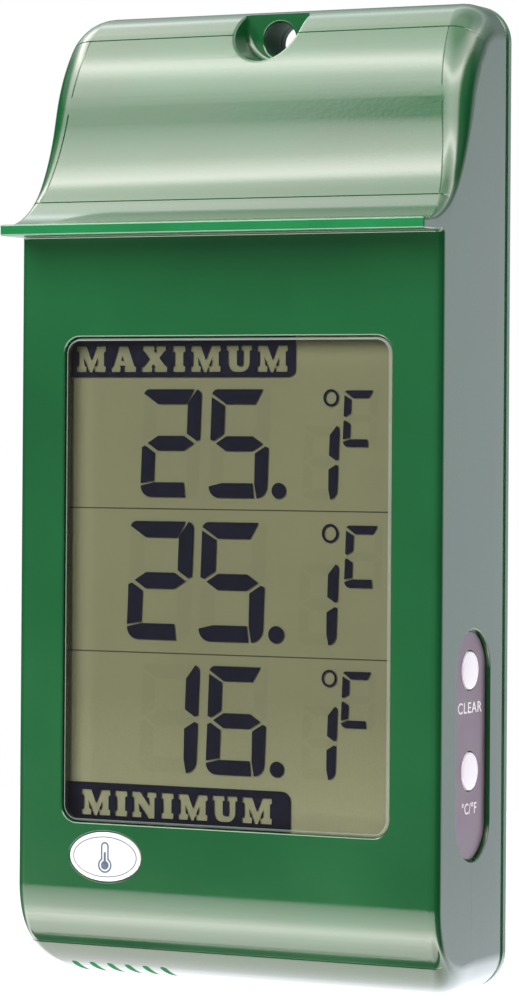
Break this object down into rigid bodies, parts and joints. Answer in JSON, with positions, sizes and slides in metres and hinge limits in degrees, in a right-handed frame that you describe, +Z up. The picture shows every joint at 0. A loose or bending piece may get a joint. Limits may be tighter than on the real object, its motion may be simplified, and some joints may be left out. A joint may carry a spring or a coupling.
{
  "type": "maximum minimum thermometer",
  "caption": "Wall-hung digital maximum/minimum thermometer: green hooded case, tall segment display, two side push buttons, rear battery door.",
  "frame": {"origin": "centre of the fixing hole at the wall plane, at the top middle of the back", "axes": "+Z up along the case, +Y into the wall, +X to the right as the user faces the display"},
  "size_m": [0.0754, 0.0343, 0.1588],
  "materials": {
    "green_plastic": "glossy moulded ABS, garden green",
    "clear_plastic": "clear polished acrylic",
    "display": "grey-green display glass",
    "reflector_film": "matt reflecting film",
    "holder_plastic": "natural moulded plastic",
    "elastomer": "silicone connector strip",
    "circuit_board": "solder-masked board",
    "black_epoxy": "black epoxy",
    "tinned_metal": "tinned metal",
    "screw_steel": "zinc-plated steel",
    "white_plastic": "satin white plastic",
    "black_plastic": "black moulded plastic",
    "label_film": "printed grey film",
    "cell_wrap": "printed cell sleeve with metal ends",
    "spring_steel": "nickel-plated spring steel",
    "red_insulation": "red wire insulation",
    "black_insulation": "black wire insulation"
  },
  "bodies": {
    "case": {"front_case": "green_plastic", "rear_cover": "green_plastic", "badge": "white_plastic", "window_lens": "clear_plastic", "lcd_glass": "display", "lcd_reflector": "reflector_film", "lcd_holder": "holder_plastic", "zebra_strip_top": "elastomer", "zebra_strip_bottom": "elastomer", "main_board": "circuit_board", "chip_blob": "black_epoxy", "quartz_crystal": "tinned_metal", "capacitor": "black_plastic", "resistor_1": "black_epoxy", "resistor_2": "black_epoxy", "board_screw_1": "screw_steel", "board_screw_2": "screw_steel", "board_screw_3": "screw_steel", "board_screw_4": "screw_steel", "side_label": "label_film", "clear_switch_body": "black_plastic", "unit_switch_body": "black_plastic", "aaa_cell": "cell_wrap", "positive_contact": "spring_steel", "negative_contact": "spring_steel", "negative_spring": "spring_steel", "red_wire": "red_insulation", "black_wire": "black_insulation", "thermistor_bead": "black_epoxy", "thermistor_lead_1": "tinned_metal", "thermistor_lead_2": "tinned_metal", "case_screw_1": "screw_steel", "case_screw_2": "screw_steel", "case_screw_3": "screw_steel", "case_screw_4": "screw_steel"},
    "clear_button": {"clear_button": "white_plastic"},
    "unit_button": {"unit_button": "white_plastic"},
    "clear_plunger": {"clear_switch_plunger": "black_plastic"},
    "unit_plunger": {"unit_switch_plunger": "black_plastic"},
    "battery_door": {"battery_door": "green_plastic"}
  },
  "joints": [
    {"name": "clear_button_press", "type": "slide", "parent": "case", "child": "clear_button", "axis": [-1, 0, 0], "range_m": [0, 0.0004], "stiffness_N_per_m": 400, "springref_m": -0.0004},
    {"name": "unit_button_press", "type": "slide", "parent": "case", "child": "unit_button", "axis": [-1, 0, 0], "range_m": [0, 0.0004], "stiffness_N_per_m": 400, "springref_m": -0.0004},
    {"name": "clear_plunger_press", "type": "slide", "parent": "case", "child": "clear_plunger", "axis": [-1, 0, 0], "range_m": [0, 0.0004]},
    {"name": "unit_plunger_press", "type": "slide", "parent": "case", "child": "unit_plunger", "axis": [-1, 0, 0], "range_m": [0, 0.0004]},
    {"name": "battery_door_hinge", "type": "hinge", "parent": "case", "child": "battery_door", "pos_m": [0, -0.00085, -0.08575], "axis": [-1, 0, 0], "range_deg": [0, 75]}
  ],
  "couplings": [
    {"joint": "clear_plunger_press", "follows": "clear_button_press", "ratio": 1},
    {"joint": "unit_plunger_press", "follows": "unit_button_press", "ratio": 1}
  ]
}
